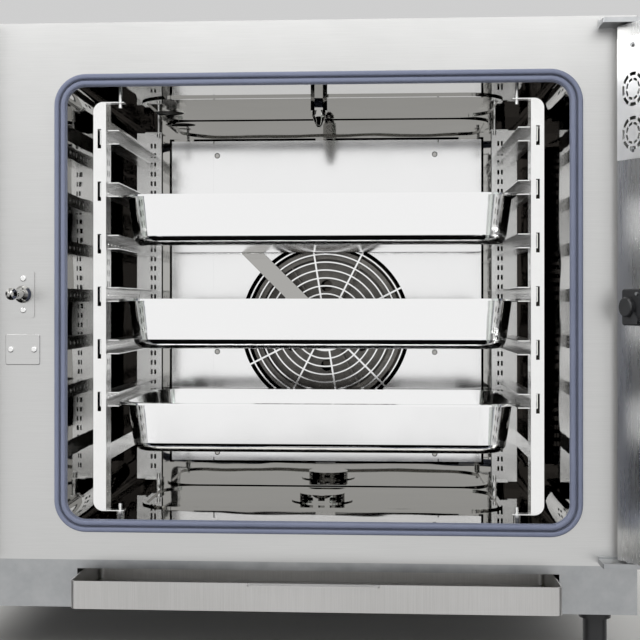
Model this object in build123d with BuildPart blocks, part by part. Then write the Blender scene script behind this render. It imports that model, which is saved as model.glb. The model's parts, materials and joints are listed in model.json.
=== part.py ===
from build123d import *
from math import cos, radians, sin
import os

os.makedirs("parts", exist_ok=True)

# Casing. X runs to the right, Y into the oven, Z up. The origin is the centre of the stand bolts.
body_d = 760.0
body_h = 740.0
base_h = 60.0
sheet = 1.5
frame_sheet = 2.0
frame_depth = 30.0
seam = 0.5

# Cavity
cavity_w = 636.0
cavity_h = 560.0
cavity_d = 480.0
cavity_r = 28.0
cavity_wall = 1.5
side_space = 79.0
cavity_floor = 105.0
wool = 30.0

# Seal and door
gasket_w = 16.0
gasket_over = 3.5
gasket_over_z = 6.5
gasket_h = 10.0
gasket_gap = 0.8
door_lap = 85.0
door_h = 650.0
door_t = 50.0
door_lift = 12.0
door_open = 118.0
pane_proud = 10.0
pane_t = 5.0
glass_t = 5.0
pin_in = 14.0
pin_r = 5.0
bush_wall = 1.3
bush_gap = 0.2
door_sheet = 1.5
running = 0.05
clear = 0.3

# Racks and pans
pan_w = 530.0
pan_l = 325.0
pan_deep = 65.0
pan_sheet = 1.0
pan_rim = 12.0
pan_lip = 2.6
pan_front = 35.0
levels = 6
pitch = 67.5
top_level = 208.0
post_w = 16.4
post_top = 258.0
post_bottom = -267.0
post_y = 25.0
rack_sheet = 1.2
rail_h = 18.5
slot_w = 4.7
slot_h = 25.0
slot_up = 3.0

# Air guidance
baffle_y = 370.0
panel_half = 169.0
wing_half = 234.0
panel_top = 246.0
panel_bottom = -239.0
fan_z = -35.0
fan_r = 116.0
grille_r = 128.0
ring_pitch = 12.0
bar_w = 2.0
spoke_w = 2.6
rim_slot = 6.0

motor_r = 60.0

# Services
drain_y = 238.0
drain_r = 36.0
pipe_r = 20.0
pipe_z = 32.0
stack_r = 25.0
stack_wall = 1.5
stack_out = 34.0
inlet_r = 13.2
foot_h = 70.0
stand_x = 700.0
stand_y = 560.0
stand_hole_r = 4.5

# Drip tray
tray_w = 596.0
tray_z = 11.0
tray_h = 34.0
tray_out = 62.0
tray_in = 120.0

# Control column
fascia_out = 20.0
column_gap = 4.0
column_w = 121.0

cavity_to_right = side_space + cavity_w / 2
door_w = side_space + cavity_w + door_lap
body_w = door_w + column_gap + column_w
right = body_w / 2
left = -right
front = -body_d / 2
back = body_d / 2
cavity_x = right - cavity_to_right
cavity_z = cavity_floor + cavity_h / 2
cavity_back = front + cavity_d
ceiling = cavity_floor + cavity_h
frame_left = right - door_w - column_gap
frame_w = right - frame_left
frame_x = (right + frame_left) / 2
fascia_w = frame_left - 2 * seam - left
fascia_x = left + fascia_w / 2
side_front = front + frame_depth + seam
gasket_ow = cavity_w - 2 * gasket_over + 2 * gasket_w
gasket_oh = cavity_h - 2 * gasket_over_z + 2 * gasket_w
fan_y = front + baffle_y + 15
pin_deep = door_sheet + bush_gap + bush_wall + pin_r


def at_y(y, x=0.0, z=0.0):
    """Plane facing the front at depth y, its sketch x to the right and y up."""
    return Plane(origin=(x, y, z), x_dir=(1, 0, 0), z_dir=(0, -1, 0))


def at_z(z, x=0.0, y=0.0):
    return Plane(origin=(x, y, z), x_dir=(1, 0, 0), z_dir=(0, 0, 1))


def at_x(x, y=0.0, z=0.0):
    """Plane facing +X, its sketch x towards the back and y up."""
    return Plane(origin=(x, y, z), x_dir=(0, 1, 0), z_dir=(1, 0, 0))


# ---- casing ----

with BuildPart() as base_pan:
    with BuildSketch(at_z(0)):
        Rectangle(body_w, body_d)
    extrude(amount=base_h)
    with BuildSketch(at_z(frame_sheet)):
        Rectangle(body_w - 2 * frame_sheet, body_d - 2 * frame_sheet)
    extrude(amount=base_h, mode=Mode.SUBTRACT)
    # mouth of the drip tray in the front wall
    with BuildSketch(at_y(front - 1, cavity_x, tray_z + tray_h / 2)):
        Rectangle(tray_w + 8, tray_h + 8)
    extrude(amount=-frame_sheet - 2, mode=Mode.SUBTRACT)
    with BuildSketch(at_y(back + 1, cavity_x, pipe_z)):
        Circle(pipe_r + clear)
    extrude(amount=frame_sheet + 2, mode=Mode.SUBTRACT)
    with BuildSketch(at_z(-1)):
        with GridLocations(stand_x, stand_y, 2, 2):
            Circle(stand_hole_r)
    extrude(amount=frame_sheet + 2, mode=Mode.SUBTRACT)
    # runners of the drip tray
    for side in (-1, 1):
        with BuildSketch(at_z(frame_sheet, cavity_x + side * (tray_w / 2 - 12), front + 64)):
            Rectangle(20, 118)
        extrude(amount=tray_z - frame_sheet)
base_pan.part.label = "base_pan"
export_step(base_pan.part, "parts/base_pan.step")

side_len = back - frame_sheet - seam - side_front
side_h = body_h - sheet - seam - base_h
side_mid_y = side_front + side_len / 2
side_mid_z = base_h + side_h / 2

with BuildPart() as left_side_panel:
    with BuildSketch(at_x(left, side_mid_y, side_mid_z)):
        Rectangle(side_len, side_h)
    extrude(amount=sheet)
    # cooling slots for the control space, in three banks
    with BuildSketch(at_x(left - 1, side_mid_y, base_h + 130)):
        with GridLocations(210, 14, 3, 12):
            SlotOverall(150, 5)
    extrude(amount=sheet + 2, mode=Mode.SUBTRACT)
left_side_panel.part.label = "left_side_panel"
export_step(left_side_panel.part, "parts/left_side_panel.step")

with BuildPart() as right_side_panel:
    with BuildSketch(at_x(right - sheet, side_mid_y, side_mid_z)):
        Rectangle(side_len, side_h)
    extrude(amount=sheet)
    # two pressed stiffening fields
    with BuildSketch(at_x(right - sheet, side_mid_y, side_mid_z)):
        with GridLocations(side_len / 2, 0, 2, 1):
            RectangleRounded(side_len / 2 - 70, side_h - 120, 20)
            RectangleRounded(side_len / 2 - 84, side_h - 134, 14, mode=Mode.SUBTRACT)
    extrude(amount=-2.5)
right_side_panel.part.label = "right_side_panel"
export_step(right_side_panel.part, "parts/right_side_panel.step")

stack_x = cavity_x - 230
stack_y = front + 300

with BuildPart() as top_panel:
    with BuildSketch(at_z(body_h - sheet, 0, (side_front + back) / 2)):
        Rectangle(body_w, back - side_front)
    extrude(amount=sheet)
    with BuildSketch(at_z(body_h - sheet - 1, stack_x, stack_y)):
        Circle(stack_r + clear)
    extrude(amount=sheet + 2, mode=Mode.SUBTRACT)
    # cooling slots over the control space and the motor space
    with BuildSketch(at_z(body_h - sheet - 1, 0, back - 110)):
        with GridLocations(18, 0, 30, 1):
            SlotOverall(90, 6, rotation=90)
    extrude(amount=sheet + 2, mode=Mode.SUBTRACT)
top_panel.part.label = "top_panel"
export_step(top_panel.part, "parts/top_panel.step")

inlet_x = left + 90
inlet_z = 150.0
inlet_pitch = 70.0
inlet_neck = 11.0
gland_x = left + 110
gland_z = 250.0
gland_r = 16.0

with BuildPart() as back_panel:
    with BuildSketch(at_y(back, 0, base_h + side_h / 2)):
        Rectangle(body_w, side_h)
    extrude(amount=frame_sheet)
    with BuildSketch(at_y(back + 1)):
        with Locations((inlet_x, inlet_z), (inlet_x + inlet_pitch, inlet_z)):
            Circle(inlet_neck + clear)
        with Locations((gland_x, gland_z)):
            Circle(gland_r)
        # air outlet of the motor space
        with Locations((cavity_x, cavity_z + 40)):
            with GridLocations(0, 16, 1, 14):
                SlotOverall(260, 7)
    extrude(amount=frame_sheet + 2, mode=Mode.SUBTRACT)
back_panel.part.label = "back_panel"
export_step(back_panel.part, "parts/back_panel.step")

frame_h = body_h - base_h
with BuildPart() as front_frame:
    with BuildSketch(at_y(front, frame_x, base_h + frame_h / 2)):
        Rectangle(frame_w, frame_h)
    extrude(amount=-frame_depth)
    with BuildSketch(at_y(front + frame_sheet, frame_x, base_h + frame_h / 2)):
        Rectangle(frame_w - 2 * frame_sheet, frame_h - 2 * frame_sheet)
    extrude(amount=-frame_depth, mode=Mode.SUBTRACT)
    with BuildSketch(at_y(front - 1, cavity_x, cavity_z)):
        RectangleRounded(cavity_w, cavity_h, cavity_r)
    extrude(amount=-frame_sheet - 2, mode=Mode.SUBTRACT)
    fillet(front_frame.edges().filter_by(Axis.Z).group_by(Axis.X)[-1].sort_by(Axis.Y)[0], 1.5)
front_frame.part.label = "front_frame"
export_step(front_frame.part, "parts/front_frame.step")

bead_w = 500.0
bead_l = 220.0
bead_mid = 250.0
with BuildPart() as cavity_shell:
    mouth = at_y(front + frame_sheet, cavity_x, cavity_z)
    with BuildSketch(mouth):
        RectangleRounded(cavity_w + 2 * cavity_wall, cavity_h + 2 * cavity_wall, cavity_r + cavity_wall)
    extrude(amount=-cavity_d)
    with BuildSketch(mouth):
        RectangleRounded(cavity_w, cavity_h, cavity_r)
    extrude(amount=cavity_wall - cavity_d, mode=Mode.SUBTRACT)
    # pressed beads in the floor and the ceiling
    for z, way in ((cavity_floor, 1), (ceiling, -1)):
        with BuildSketch(at_z(z, cavity_x, front + bead_mid)):
            RectangleRounded(bead_w, bead_l, 55)
            RectangleRounded(bead_w - 12, bead_l - 12, 49, mode=Mode.SUBTRACT)
        extrude(amount=2.5 * way)
    with BuildSketch(at_z(cavity_floor - 5, cavity_x, front + drain_y)):
        Circle(drain_r)
    extrude(amount=6, mode=Mode.SUBTRACT)
    with BuildSketch(at_z(ceiling - 1, stack_x, stack_y)):
        Circle(stack_r - stack_wall)
    extrude(amount=6, mode=Mode.SUBTRACT)
    with BuildSketch(at_y(cavity_back + 10, cavity_x, cavity_z + fan_z)):
        Circle(20)
    extrude(amount=20, mode=Mode.SUBTRACT)
cavity_shell.part.label = "cavity_shell"
export_step(cavity_shell.part, "parts/cavity_shell.step")

shell_back = front + frame_sheet + cavity_d
with BuildPart() as insulation:
    with BuildSketch(at_y(front + frame_depth + 5, cavity_x, cavity_z)):
        Rectangle(cavity_w + 2 * (cavity_wall + wool), cavity_h + 2 * (cavity_wall + wool))
    extrude(amount=-(shell_back + wool - front - frame_depth - 5))
    with BuildSketch(at_y(front + frame_depth + 4, cavity_x, cavity_z)):
        RectangleRounded(cavity_w + 2 * cavity_wall, cavity_h + 2 * cavity_wall, cavity_r + cavity_wall)
    extrude(amount=-(shell_back - front - frame_depth - 4), mode=Mode.SUBTRACT)
    with BuildSketch(at_y(shell_back + wool + 1, cavity_x, cavity_z + fan_z)):
        Circle(motor_r + 12)
    extrude(amount=wool + 2, mode=Mode.SUBTRACT)
    with BuildSketch(at_z(ceiling, stack_x, stack_y)):
        Circle(stack_r + 1)
    extrude(amount=wool + 5, mode=Mode.SUBTRACT)
    with BuildSketch(at_z(cavity_floor - cavity_wall - wool - 1, cavity_x, front + drain_y)):
        Circle(drain_r + 4)
    extrude(amount=wool + 2, mode=Mode.SUBTRACT)
insulation.part.label = "insulation"
export_step(insulation.part, "parts/insulation.step")

# ---- seal, striker and switch cover on the front frame ----

gasket_r = cavity_r - gasket_over
with BuildPart() as door_gasket:
    with BuildSketch(at_y(front, cavity_x, cavity_z)):
        RectangleRounded(gasket_ow, gasket_oh, gasket_r + gasket_w)
        RectangleRounded(gasket_ow - 2 * gasket_w, gasket_oh - 2 * gasket_w, gasket_r, mode=Mode.SUBTRACT)
    extrude(amount=4)
    # two sealing ridges with rounded crests
    for inset in (0.8, 9.2):
        with BuildSketch(at_y(front - 4, cavity_x, cavity_z)):
            RectangleRounded(gasket_ow - 2 * inset, gasket_oh - 2 * inset, gasket_r + gasket_w - inset)
            low = inset + 6
            RectangleRounded(gasket_ow - 2 * low, gasket_oh - 2 * low, gasket_r + gasket_w - low,
                             mode=Mode.SUBTRACT)
        extrude(amount=gasket_h - 4)
    crests = door_gasket.faces().sort_by(Axis.Y)[0:2].edges()
    fillet(crests, 2.4)
door_gasket.part.label = "door_gasket"
export_step(door_gasket.part, "parts/door_gasket.step")

striker_x = cavity_x - cavity_w / 2 - 53
striker_z = cavity_z + 11
cover_x = cavity_x - cavity_w / 2 - 54
cover_z = cavity_z - 59
screw_pitch = 40.0
plate_t = 2.0

with BuildPart() as striker_plate:
    with BuildSketch(at_y(front, striker_x, striker_z)):
        RectangleRounded(28, 59, 2)
        with GridLocations(0, screw_pitch, 1, 2):
            Circle(2.2, mode=Mode.SUBTRACT)
        Circle(6, mode=Mode.SUBTRACT)
    extrude(amount=plate_t)
striker_plate.part.label = "striker_plate"
export_step(striker_plate.part, "parts/striker_plate.step")

neck_in = 50.0
neck_len = 7.0
head_r = 7.5
neck_r = 4.5
with BuildPart() as striker_pin:
    with BuildSketch(Plane(origin=(striker_x, front, striker_z), x_dir=(1, 0, 0), z_dir=(0, 0, 1))):
        with BuildLine():
            Polyline((0, 0), (5.8, 0), (5.8, -plate_t), (11, -plate_t), (11, -5), (8, -9), (6, -14),
                     (6, -neck_in + 3), (neck_r, -neck_in), (neck_r, -neck_in - neck_len),
                     (head_r, -neck_in - neck_len), (head_r, -neck_in - neck_len - 4), (4, -neck_in - 16),
                     (0, -neck_in - 17), (0, 0))
        make_face()
    revolve(axis=Axis((striker_x, front, striker_z), (0, 1, 0)))
striker_pin.part.label = "striker_pin"
export_step(striker_pin.part, "parts/striker_pin.step")

with BuildPart() as switch_cover:
    with BuildSketch(at_y(front, cover_x, cover_z)):
        RectangleRounded(44, 39, 2.5)
        with GridLocations(30, 0, 2, 1):
            Circle(2.2, mode=Mode.SUBTRACT)
    extrude(amount=plate_t)
    fillet(switch_cover.faces().sort_by(Axis.Y)[0].outer_wire().edges(), 0.8)
switch_cover.part.label = "switch_cover"
export_step(switch_cover.part, "parts/switch_cover.step")

with BuildPart() as front_screws:
    heads = [(striker_x, striker_z - screw_pitch / 2), (striker_x, striker_z + screw_pitch / 2),
             (cover_x - 15, cover_z), (cover_x + 15, cover_z)]
    with BuildSketch(at_y(front - plate_t)):
        with Locations(*heads):
            Circle(3.8)
    extrude(amount=2)
    fillet(front_screws.faces().sort_by(Axis.Y)[0:4].edges(), 1.2)
    with BuildSketch(at_y(front)):
        with Locations(*heads):
            Circle(2.0)
    extrude(amount=plate_t)
front_screws.part.label = "front_screws"
export_step(front_screws.part, "parts/front_screws.step")

# ---- racks ----

peg_x = pan_w / 2 - 12
peg_r = 2.4
peg_shoulder = 5.0
post_in = pan_w / 2 + 5
rear_in = pan_w / 2 - 16
rear_y = pan_front + pan_l + 2
strap_x = post_in + post_w - rack_sheet
peg_ys = (post_y + 8, rear_y - 5)
rail_x = pan_w / 2 + 13.6
rail_reach = 24.6
rail_gap = 6.0


def level_z(i):
    """Height of the rim of a pan at level i, counted from the top."""
    return cavity_z + top_level - i * pitch


def rack_frame(side):
    """Welded frame of one rack: posts, straps and the tabs that drop on the pegs."""
    with BuildPart() as rack:
        high = post_top - post_bottom
        mid = cavity_z + (post_top + post_bottom) / 2
        # front post: face with slots, and a perforated flange on its inner edge
        with BuildSketch(at_y(front + post_y, cavity_x + side * (post_in + post_w / 2), mid)) as front_post:
            Rectangle(post_w, high)
            outer = front_post.vertices().group_by(Axis.X)[-1 if side > 0 else 0]
            fillet(outer, 12.5)
            for i in range(levels):
                with Locations((side * (rail_x - post_in - post_w / 2), level_z(i) + slot_up - mid)):
                    Rectangle(slot_w, slot_h, mode=Mode.SUBTRACT)
        extrude(amount=-rack_sheet)
        with BuildSketch(at_x(cavity_x + side * (post_in + rack_sheet / 2), front + post_y + 17, mid)):
            Rectangle(34, high)
            with GridLocations(11, 14.3, 2, 35):
                RectangleRounded(5, 8, 1.2, mode=Mode.SUBTRACT)
            # windows for the rails
            for i in range(levels):
                with Locations((rack_sheet, level_z(i) - pan_lip - rack_sheet + rail_h / 2 - mid)):
                    Rectangle(34, rail_h, mode=Mode.SUBTRACT)
        extrude(amount=rack_sheet / 2, both=True)
        # rear post
        with BuildSketch(at_y(front + rear_y, cavity_x + side * (rear_in + 18.7), mid)):
            Rectangle(37.4, high)
            with GridLocations(5.4, 14.3, 2, 35):
                with Locations((-side * 6.2, 0)):
                    RectangleRounded(3, 7.5, 1, mode=Mode.SUBTRACT)
        extrude(amount=-rack_sheet)
        with BuildSketch(at_x(cavity_x + side * (rear_in + 18), front + rear_y + 10, mid)):
            Rectangle(20, high)
            with GridLocations(0, 14.3, 1, 35):
                RectangleRounded(6, 8, 1.5, mode=Mode.SUBTRACT)
        extrude(amount=rack_sheet / 2, both=True)
        # straps outside the rails
        span = rear_y + rack_sheet - post_y
        with BuildSketch(at_x(cavity_x + side * (strap_x + rack_sheet / 2), front + post_y + span / 2, 0)):
            with Locations((0, cavity_z + 236), (0, cavity_z - 202)):
                Rectangle(span, 22)
        extrude(amount=rack_sheet / 2, both=True)
        # tabs
        for y in peg_ys:
            for z in (mid + high / 2 - rack_sheet, mid - high / 2):
                wide = post_in + 2 - peg_x + 6
                with BuildSketch(at_z(z, cavity_x + side * (peg_x - 6 + wide / 2), front + y)):
                    Rectangle(wide, 15)
                    with Locations((side * (6 - wide / 2), 0)):
                        Circle(peg_r + clear, mode=Mode.SUBTRACT)
                extrude(amount=rack_sheet)
    return rack


def rack_rails(side):
    """Six C-shaped rails with the flanges pointing inwards."""
    with BuildPart() as rails:
        start = front + post_y + rack_sheet + rail_gap
        run = rear_y - post_y - rack_sheet - rail_gap
        for i in range(levels):
            low = level_z(i) - pan_lip - rack_sheet
            web = cavity_x + side * (rail_x + rack_sheet / 2)
            tip = -side * rail_reach
            skin = -side * rack_sheet
            under = rail_h - rack_sheet
            with BuildSketch(at_y(start, web, low)):
                with BuildLine():
                    Polyline((0, 0), (0, rail_h), (tip, rail_h), (tip, under), (skin, under),
                             (skin, rack_sheet), (tip, rack_sheet), (tip, 0), (0, 0))
                make_face()
            extrude(amount=-run)
        with BuildSketch(at_x(cavity_x + side * (rail_x - 1), start + run / 2, 0)):
            for i in range(levels):
                with Locations((0, level_z(i) - pan_lip - rack_sheet + rail_h / 2)):
                    with GridLocations(25, 0, 12, 1):
                        Circle(3.2)
        extrude(amount=side * 4, mode=Mode.SUBTRACT)
    return rails


for hand, side in (("left", -1), ("right", 1)):
    frame = rack_frame(side)
    frame.part.label = f"{hand}_rack_frame"
    export_step(frame.part, f"parts/{hand}_rack_frame.step")
    rails = rack_rails(side)
    rails.part.label = f"{hand}_rack_rails"
    export_step(rails.part, f"parts/{hand}_rack_rails.step")

with BuildPart() as rack_pegs:
    pegs = [(side * peg_x, y) for side in (-1, 1) for y in peg_ys]
    with BuildSketch(at_z(cavity_floor, cavity_x, front)):
        with Locations(*pegs):
            Circle(peg_shoulder)
    extrude(amount=cavity_h / 2 + post_bottom)
    with BuildSketch(at_z(cavity_z + post_bottom, cavity_x, front)):
        with Locations(*pegs):
            Circle(peg_r)
    extrude(amount=9)
    with BuildSketch(at_z(ceiling, cavity_x, front)):
        with Locations(*pegs):
            Circle(peg_r)
    extrude(amount=-(cavity_h / 2 - post_top) - 7)
rack_pegs.part.label = "rack_pegs"
export_step(rack_pegs.part, "parts/rack_pegs.step")

# ---- pans ----


def gastro_pan(rim_z):
    """Pressed pan with drafted walls and a turned-down rim. rim_z is the top of its rim."""
    mid_y = front + pan_front + pan_l / 2
    mouth_w = pan_w - 2 * pan_rim
    mouth_l = pan_l - 2 * pan_rim
    draft = 9.0
    mouth_r = 46.0
    floor_r = 38.0
    edge_r = 14.0
    # the hollow has its own bottom radius, so the sheet is as thick round the edge as in the floor
    with BuildPart() as hollow:
        with BuildSketch(at_z(rim_z, cavity_x, mid_y)):
            RectangleRounded(mouth_w - 2 * pan_sheet, mouth_l - 2 * pan_sheet, mouth_r - pan_sheet)
        with BuildSketch(at_z(rim_z - pan_deep + pan_sheet, cavity_x, mid_y)):
            inset = 2 * (pan_sheet + draft)
            RectangleRounded(mouth_w - inset, mouth_l - inset, floor_r - pan_sheet)
        loft()
        fillet(hollow.faces().sort_by(Axis.Z)[0].edges(), edge_r - pan_sheet)
    with BuildPart() as pan:
        with BuildSketch(at_z(rim_z, cavity_x, mid_y)):
            RectangleRounded(mouth_w, mouth_l, mouth_r)
        with BuildSketch(at_z(rim_z - pan_deep, cavity_x, mid_y)):
            RectangleRounded(mouth_w - 2 * draft, mouth_l - 2 * draft, floor_r)
        loft()
        fillet(pan.faces().sort_by(Axis.Z)[0].edges(), edge_r)
        add(hollow.part, mode=Mode.SUBTRACT)
        with BuildSketch(at_z(rim_z - pan_sheet, cavity_x, mid_y)):
            RectangleRounded(pan_w, pan_l, 58)
            RectangleRounded(mouth_w - pan_sheet, mouth_l - pan_sheet, mouth_r - pan_sheet / 2,
                             mode=Mode.SUBTRACT)
        extrude(amount=pan_sheet)
        with BuildSketch(at_z(rim_z - pan_lip, cavity_x, mid_y)):
            RectangleRounded(pan_w, pan_l, 58)
            RectangleRounded(pan_w - 2 * pan_sheet, pan_l - 2 * pan_sheet, 58 - pan_sheet, mode=Mode.SUBTRACT)
        extrude(amount=pan_lip)
    return pan


for name, level in (("top", 1), ("middle", 3), ("bottom", 5)):
    pan = gastro_pan(level_z(level))
    pan.part.label = f"{name}_pan"
    export_step(pan.part, f"parts/{name}_pan.step")

# ---- air guidance and fan ----

panel_y = front + baffle_y
panel_h = panel_top - panel_bottom
panel_mid = cavity_z + (panel_top + panel_bottom) / 2
baffle_sheet = 1.5
seam_screw_x = panel_half - 4.5
screw_zs = (panel_top - 22, -74, -227)
spoke_start = 27.0
spokes = 10

with BuildPart() as baffle_panel:
    with BuildSketch(at_y(panel_y, cavity_x, panel_mid)):
        Rectangle(2 * panel_half, panel_h)
    extrude(amount=-baffle_sheet)
    # concentric slots of the fan grille, cut through by spokes
    with BuildSketch(at_y(panel_y - 1, cavity_x, cavity_z + fan_z)):
        for i in range(8):
            outer_r = grille_r - rim_slot - bar_w - (i - 1) * ring_pitch if i else grille_r
            inner_r = outer_r - (ring_pitch - bar_w if i else rim_slot)
            Circle(outer_r)
            Circle(inner_r, mode=Mode.SUBTRACT)
        for i in range(spokes):
            angle = spoke_start + i * 360 / spokes
            reach = grille_r / 2 + 10
            with Locations((reach * cos(radians(angle)), reach * sin(radians(angle)))):
                Rectangle(grille_r + 20, spoke_w, rotation=angle, mode=Mode.SUBTRACT)
    extrude(amount=-baffle_sheet - 2, mode=Mode.SUBTRACT)
baffle_panel.part.label = "baffle_panel"
export_step(baffle_panel.part, "parts/baffle_panel.step")

wing_gap = 1.6
wing_in = panel_half + wing_gap
lap_w = 26.0
with BuildPart() as baffle_wings:
    with BuildSketch(at_y(panel_y, cavity_x, panel_mid)):
        for side in (-1, 1):
            with Locations((side * (wing_half + wing_in) / 2, 0)):
                Rectangle(wing_half - wing_in, panel_h)
    extrude(amount=-baffle_sheet)
    # strip behind the seam that carries the panel's edge
    with BuildSketch(at_y(panel_y + baffle_sheet, cavity_x, panel_mid)):
        for side in (-1, 1):
            with Locations((side * wing_in, 0)):
                Rectangle(lap_w, panel_h - 8)
    extrude(amount=-baffle_sheet)
baffle_wings.part.label = "baffle_wings"
export_step(baffle_wings.part, "parts/baffle_wings.step")

strip_w = 16.0
strip_gap = 3.4
tab_pitch = wing_in + lap_w / 2 + 32
with BuildPart() as baffle_frame:
    with BuildSketch(at_y(panel_y, cavity_x, cavity_z)):
        Rectangle(2 * (wing_half + strip_w + strip_gap), cavity_h)
        with Locations((0, panel_mid - cavity_z)):
            Rectangle(2 * (wing_half + strip_gap), panel_h + 2 * strip_gap, mode=Mode.SUBTRACT)
    extrude(amount=-baffle_sheet)
    # tabs behind the gap that carry the panel and the wings
    with BuildSketch(at_y(panel_y + baffle_sheet, cavity_x, panel_mid)):
        with GridLocations(tab_pitch, panel_h + strip_gap, 3, 2):
            Rectangle(30, 34)
        with GridLocations(2 * wing_half + strip_gap, 300, 2, 2):
            Rectangle(26, 24)
    extrude(amount=-baffle_sheet)
baffle_frame.part.label = "baffle_frame"
export_step(baffle_frame.part, "parts/baffle_frame.step")

with BuildPart() as baffle_screws:
    with BuildSketch(at_y(panel_y, cavity_x, cavity_z)):
        with Locations(*[(side * seam_screw_x, z) for side in (-1, 1) for z in screw_zs]):
            Circle(4.2)
    extrude(amount=2.4)
    fillet(baffle_screws.faces().filter_by(Axis.Y).group_by(Axis.Y)[0].edges(), 1.4)
baffle_screws.part.label = "baffle_screws"
export_step(baffle_screws.part, "parts/baffle_screws.step")

channel_w = 24.0
channel_l = 200.0
channel_t = 4.0
channel_turn = 135.0
with BuildPart() as injection_channel:
    along = (channel_l / 2 * cos(radians(channel_turn)), channel_l / 2 * sin(radians(channel_turn)))
    with BuildSketch(at_y(panel_y - 3, cavity_x, cavity_z + fan_z)):
        with Locations(along):
            Rectangle(channel_l, channel_w, rotation=channel_turn)
    extrude(amount=channel_t)
    # feet that hold it off the panel
    with BuildSketch(at_y(panel_y, cavity_x, cavity_z + fan_z)):
        with Locations((along[0] * 1.9, along[1] * 1.9), (along[0] * 0.22, along[1] * 0.22)):
            Rectangle(8, channel_w - 4, rotation=channel_turn)
    extrude(amount=3)
injection_channel.part.label = "injection_channel"
export_step(injection_channel.part, "parts/injection_channel.step")

fan_plane = at_y(fan_y, cavity_x, cavity_z + fan_z)
fan_deep = 50.0
blades = 6
shaft_r = 7.0
motor_l = 150.0
motor_y = shell_back + 4

with BuildPart() as fan_wheel:
    with BuildSketch(at_y(fan_y + fan_deep, cavity_x, cavity_z + fan_z)):
        Circle(fan_r)
        Circle(shaft_r, mode=Mode.SUBTRACT)
        with PolarLocations(62, blades, 30):
            Circle(9, mode=Mode.SUBTRACT)
    extrude(amount=2)
    with BuildSketch(fan_plane):
        with PolarLocations((fan_r + 44) / 2, blades, 0):
            Rectangle(fan_r - 44, 2)
    extrude(amount=-fan_deep + 1)
    # front ring that ties the blades, and the hub
    with BuildSketch(fan_plane):
        Circle(fan_r)
        Circle(fan_r - 14, mode=Mode.SUBTRACT)
    extrude(amount=-2)
    with BuildSketch(at_y(fan_y + 12, cavity_x, cavity_z + fan_z)):
        Circle(20)
        Circle(shaft_r, mode=Mode.SUBTRACT)
    extrude(amount=-fan_deep + 12)
fan_wheel.part.label = "fan_wheel"
export_step(fan_wheel.part, "parts/fan_wheel.step")

with BuildPart() as motor_shaft:
    with BuildSketch(at_y(fan_y + 6, cavity_x, cavity_z + fan_z)):
        Circle(shaft_r)
    extrude(amount=-(motor_y + 30 - fan_y - 6))
    # hub nut
    with BuildSketch(at_y(fan_y + 12, cavity_x, cavity_z + fan_z)):
        RegularPolygon(13, 6)
        Circle(shaft_r, mode=Mode.SUBTRACT)
    extrude(amount=9)
motor_shaft.part.label = "motor_shaft"
export_step(motor_shaft.part, "parts/motor_shaft.step")

with BuildPart() as fan_motor:
    with BuildSketch(at_y(motor_y, cavity_x, cavity_z + fan_z)):
        Circle(motor_r)
    extrude(amount=-motor_l)
    fillet(fan_motor.faces().filter_by(Axis.Y).sort_by(Axis.Y)[-1].edges(), 10)
    # mounting flange on the cavity's back wall
    with BuildSketch(at_y(motor_y, cavity_x, cavity_z + fan_z)):
        with PolarLocations(motor_r, 4, 45):
            Rectangle(14, 14)
    extrude(amount=motor_y - shell_back)
    with BuildSketch(at_y(motor_y - 1, cavity_x, cavity_z + fan_z)):
        Circle(shaft_r + clear)
    extrude(amount=-33, mode=Mode.SUBTRACT)
    # cooling ribs
    with BuildSketch(at_y(motor_y + 35, cavity_x, cavity_z + fan_z)):
        with PolarLocations(motor_r + 1.5, 28):
            Rectangle(7, 2.4)
    extrude(amount=-85)
fan_motor.part.label = "fan_motor"
export_step(fan_motor.part, "parts/fan_motor.step")

ring_r = 146.0
tube_r = 4.2
clamp_r = tube_r + 1.2
with BuildPart() as heating_element:
    for i in range(3):
        ring_plane = at_y(fan_y + 8 + i * 15, cavity_x, cavity_z + fan_z)
        with BuildSketch(Plane(origin=ring_plane.origin, x_dir=(1, 0, 0), z_dir=(0, 0, 1))):
            with Locations((ring_r, 0)):
                Circle(tube_r)
        revolve(axis=Axis(ring_plane.origin, (0, 1, 0)))
    # clamps round the turns, two of them carried on to the back wall
    for angle in (20, 160, 270):
        at = (ring_r * cos(radians(angle)), ring_r * sin(radians(angle)))
        clamp_y = fan_y + 8 - clamp_r
        lead = cavity_back - cavity_wall - clamp_y if angle != 270 else 30 + 2 * clamp_r
        with BuildSketch(at_y(clamp_y, cavity_x + at[0], cavity_z + fan_z + at[1])):
            Circle(clamp_r)
        extrude(amount=-lead)
heating_element.part.label = "heating_element"
export_step(heating_element.part, "parts/heating_element.step")

# ---- services ----

nozzle_y = front + 113
nozzle_low = 234.0
with BuildPart() as steam_nozzle:
    with BuildSketch(at_z(ceiling, cavity_x, nozzle_y)):
        RegularPolygon(11, 6)
    extrude(amount=-(cavity_h / 2 - 256))
    with BuildSketch(Plane(origin=(cavity_x, nozzle_y, cavity_z), x_dir=(1, 0, 0), z_dir=(0, -1, 0))):
        with BuildLine():
            Line((0, 257), (9, 257))
            Line((9, 257), (9, 250))
            Spline((9, 250), (5.5, 240), (0, nozzle_low), tangents=((-0.1, -1), (-1, 0)))
            Line((0, nozzle_low), (0, 257))
        make_face()
    revolve(axis=Axis((cavity_x, nozzle_y, 0), (0, 0, 1)))
steam_nozzle.part.label = "steam_nozzle"
export_step(steam_nozzle.part, "parts/steam_nozzle.step")

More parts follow.
